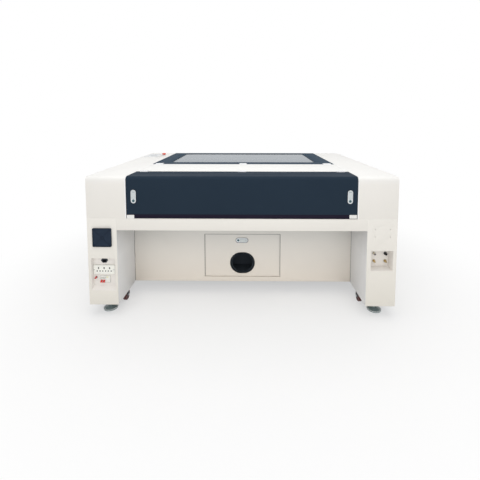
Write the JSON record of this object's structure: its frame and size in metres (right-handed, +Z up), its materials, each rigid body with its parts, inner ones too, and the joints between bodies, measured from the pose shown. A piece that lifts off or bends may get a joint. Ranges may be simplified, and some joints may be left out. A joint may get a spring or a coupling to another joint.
{
  "type": "laser cutting machine",
  "caption": "Gantry laser cutting machine with hinged window lid, rear tube cover, slat bed, moving head, exhaust door, scrap drawer, castors and levelling feet.",
  "frame": {"origin": "floor level under the middle of the machine", "axes": "+Z up, +X along the machine's width, -Y towards the rear side with the recess, +Y towards the operator"},
  "size_m": [2.1, 1.518, 1.0033],
  "materials": {
    "chassis_steel": "satin powder coat",
    "body_white": "satin powder coat",
    "deck_white": "satin powder coat",
    "panel_white": "satin powder coat",
    "slate_paint": "satin powder coat",
    "lid_paint": "satin powder coat",
    "window_pane": "clear tinted",
    "bed_steel": "brushed",
    "rail_steel": "ground",
    "gantry_aluminium": "anodised",
    "black_plastic": "matt",
    "belt_rubber": "matt",
    "motor_black": "satin",
    "tube_glass": "clear",
    "mirror_brass": "turned",
    "fitting_brass": "turned",
    "psu_grey": "satin",
    "duct_black": "matt",
    "grille_slate": "matt",
    "socket_white": "gloss",
    "breaker_white": "semi-gloss",
    "red_plastic": "gloss",
    "console_grey": "semi-gloss",
    "foot_steel": "zinc plated",
    "latch_chrome": "polished",
    "hinge_steel": "satin",
    "strut_black": "gloss",
    "rod_chrome": "polished",
    "castor_maroon": "matt",
    "fork_zinc": "zinc plated"
  },
  "bodies": {
    "machine": {"chassis_frame": "chassis_steel", "power_side_housing": "body_white", "water_side_housing": "body_white", "power_side_top": "deck_white", "water_side_top": "deck_white", "rear_deck": "deck_white", "rear_beam": "body_white", "rear_panel": "panel_white", "front_panel": "body_white", "chamber_walls": "panel_white", "bed_frame": "bed_steel", "bed_slats": "bed_steel", "y_rails": "rail_steel", "y_belts": "belt_rubber", "y_motor": "motor_black", "laser_tube": "tube_glass", "tube_mounts": "black_plastic", "first_mirror": "mirror_brass", "cabinet_electronics": "psu_grey", "exhaust_plenum": "duct_black", "fan_grille": "grille_slate", "mains_sockets": "socket_white", "breaker": "breaker_white", "service_fittings": "fitting_brass", "control_panel": "console_grey", "levelling_feet": "foot_steel", "hinge_leaves": "hinge_steel"},
    "lid": {"lid_frame": "lid_paint", "lid_window": "window_pane"},
    "strut_cylinder_left": {"strut_cylinder_l": "strut_black"},
    "strut_cylinder_right": {"strut_cylinder_r": "strut_black"},
    "strut_rod_left": {"strut_rod_l": "rod_chrome"},
    "strut_rod_right": {"strut_rod_r": "rod_chrome"},
    "cover": {"tube_cover": "slate_paint", "cover_latch_bezels": "latch_chrome"},
    "cover_paddle_left": {"cover_latch_l": "latch_chrome"},
    "cover_paddle_right": {"cover_latch_r": "latch_chrome"},
    "exhaust_service_door": {"exhaust_door": "panel_white"},
    "exhaust_paddle": {"exhaust_door_latch": "latch_chrome"},
    "front_access_door": {"front_door": "body_white"},
    "drawer": {"scrap_drawer": "body_white"},
    "gantry": {"gantry_beam": "gantry_aluminium", "x_belt": "belt_rubber", "x_motor": "motor_black", "second_mirror": "mirror_brass"},
    "carriage": {"head_carriage": "black_plastic"},
    "focus": {"focus_tube": "gantry_aluminium"},
    "motor_pulley": {"x_pulley": "rail_steel"},
    "belt_idler": {"x_idler": "rail_steel"},
    "cross_shaft": {"y_shaft": "rail_steel"},
    "front_idlers": {"y_idlers": "rail_steel"},
    "cabinet_fan": {"fan_rotor": "black_plastic"},
    "estop": {"estop_button": "red_plastic"},
    "breaker_toggles": {"breaker_levers": "red_plastic"},
    "fork_left": {"castor_fork_l": "fork_zinc"},
    "fork_right": {"castor_fork_r": "fork_zinc"},
    "rear_wheel_left": {"wheel_rear_l": "castor_maroon"},
    "rear_wheel_right": {"wheel_rear_r": "castor_maroon"},
    "front_wheel_left": {"wheel_front_l": "castor_maroon"},
    "front_wheel_right": {"wheel_front_r": "castor_maroon"}
  },
  "joints": [
    {"name": "lid_hinge", "type": "hinge", "parent": "machine", "child": "lid", "pos_m": [0, -0.161, 0.979], "axis": [1, 0, 0], "range_deg": [0, 60]},
    {"name": "strut_pivot_left", "type": "hinge", "parent": "machine", "child": "strut_cylinder_left", "pos_m": [-0.757, -0.12, 0.92], "axis": [1, 0, 0], "range_deg": [-2, 61.93]},
    {"name": "strut_stroke_left", "type": "slide", "parent": "strut_cylinder_left", "child": "strut_rod_left", "axis": [0, 0.9958, 0.091], "range_m": [-0.002, 0.07385]},
    {"name": "strut_pivot_right", "type": "hinge", "parent": "machine", "child": "strut_cylinder_right", "pos_m": [0.757, -0.12, 0.92], "axis": [1, 0, 0], "range_deg": [-2, 61.93]},
    {"name": "strut_stroke_right", "type": "slide", "parent": "strut_cylinder_right", "child": "strut_rod_right", "axis": [0, 0.9958, 0.091], "range_m": [-0.002, 0.07385]},
    {"name": "tube_cover_hinge", "type": "hinge", "parent": "machine", "child": "cover", "pos_m": [0, -0.537, 0.979], "axis": [-1, 0, 0], "range_deg": [0, 95]},
    {"name": "cover_latch_left_swing", "type": "hinge", "parent": "cover", "child": "cover_paddle_left", "pos_m": [-0.727, -0.7525, 0.879], "axis": [-1, 0, 0], "range_deg": [0, 35]},
    {"name": "cover_latch_right_swing", "type": "hinge", "parent": "cover", "child": "cover_paddle_right", "pos_m": [0.727, -0.7525, 0.879], "axis": [-1, 0, 0], "range_deg": [0, 35]},
    {"name": "exhaust_door_hinge", "type": "hinge", "parent": "machine", "child": "exhaust_service_door", "pos_m": [0, -0.419, 0.126], "axis": [1, 0, 0], "range_deg": [0, 90]},
    {"name": "exhaust_latch_swing", "type": "hinge", "parent": "exhaust_service_door", "child": "exhaust_paddle", "pos_m": [0.035, -0.4265, 0.412], "axis": [0, 0, 1], "range_deg": [0, 35]},
    {"name": "front_door_hinge", "type": "hinge", "parent": "machine", "child": "front_access_door", "pos_m": [0, 0.745, 0.696], "axis": [-1, 0, 0], "range_deg": [0, 90]},
    {"name": "drawer_slide", "type": "slide", "parent": "machine", "child": "drawer", "axis": [0, 1, 0], "range_m": [0, 0.45]},
    {"name": "gantry_travel", "type": "slide", "parent": "machine", "child": "gantry", "axis": [0, 1, 0], "range_m": [0, 0.914]},
    {"name": "head_travel", "type": "slide", "parent": "gantry", "child": "carriage", "axis": [1, 0, 0], "range_m": [0, 1.22]},
    {"name": "focus_adjust", "type": "slide", "parent": "carriage", "child": "focus", "axis": [0, 0, 1], "range_m": [-0.01, 0.01]},
    {"name": "x_pulley_turn", "type": "hinge", "parent": "gantry", "child": "motor_pulley", "pos_m": [-0.69, -0.373, 0.848], "axis": [0, 1, 0], "continuous": true},
    {"name": "x_idler_turn", "type": "hinge", "parent": "gantry", "child": "belt_idler", "pos_m": [0.668, -0.373, 0.848], "axis": [0, 1, 0], "continuous": true},
    {"name": "y_shaft_turn", "type": "hinge", "parent": "machine", "child": "cross_shaft", "pos_m": [0, -0.515, 0.76], "axis": [1, 0, 0], "continuous": true},
    {"name": "y_idler_turn", "type": "hinge", "parent": "machine", "child": "front_idlers", "pos_m": [0, 0.62, 0.76], "axis": [1, 0, 0], "continuous": true},
    {"name": "cabinet_fan_turn", "type": "hinge", "parent": "machine", "child": "cabinet_fan", "pos_m": [-0.948, -0.73, 0.5565], "axis": [0, 1, 0], "continuous": true},
    {"name": "estop_press", "type": "slide", "parent": "machine", "child": "estop", "axis": [0, 0, -1], "range_m": [0, 0.005], "stiffness_N_per_m": 600},
    {"name": "breaker_toggle", "type": "hinge", "parent": "machine", "child": "breaker_toggles", "pos_m": [-0.96475, -0.722, 0.2471], "axis": [1, 0, 0], "range_deg": [-80, 0]},
    {"name": "front_castor_swivel_left", "type": "hinge", "parent": "machine", "child": "fork_left", "pos_m": [-0.874, 0.53, 0.09], "axis": [0, 0, 1], "continuous": true},
    {"name": "front_castor_roll_left", "type": "hinge", "parent": "fork_left", "child": "front_wheel_left", "pos_m": [-0.874, 0.55, 0.0405], "axis": [1, 0, 0], "continuous": true},
    {"name": "rear_castor_roll_left", "type": "hinge", "parent": "machine", "child": "rear_wheel_left", "pos_m": [-0.874, -0.555, 0.0405], "axis": [1, 0, 0], "continuous": true},
    {"name": "front_castor_swivel_right", "type": "hinge", "parent": "machine", "child": "fork_right", "pos_m": [0.874, 0.53, 0.09], "axis": [0, 0, 1], "continuous": true},
    {"name": "front_castor_roll_right", "type": "hinge", "parent": "fork_right", "child": "front_wheel_right", "pos_m": [0.874, 0.55, 0.0405], "axis": [1, 0, 0], "continuous": true},
    {"name": "rear_castor_roll_right", "type": "hinge", "parent": "machine", "child": "rear_wheel_right", "pos_m": [0.874, -0.555, 0.0405], "axis": [1, 0, 0], "continuous": true}
  ],
  "couplings": [
    {"joint": "strut_pivot_left", "follows": "lid_hinge", "ratio": 0.99879},
    {"joint": "strut_stroke_left", "follows": "lid_hinge", "m_per_rad": 0.068607},
    {"joint": "strut_pivot_right", "follows": "lid_hinge", "ratio": 0.99879},
    {"joint": "strut_stroke_right", "follows": "lid_hinge", "m_per_rad": 0.068607},
    {"joint": "x_pulley_turn", "follows": "head_travel", "rad_per_m": 62.5},
    {"joint": "x_idler_turn", "follows": "head_travel", "rad_per_m": 62.5},
    {"joint": "y_shaft_turn", "follows": "gantry_travel", "rad_per_m": -62.5},
    {"joint": "y_idler_turn", "follows": "gantry_travel", "rad_per_m": -62.5}
  ]
}
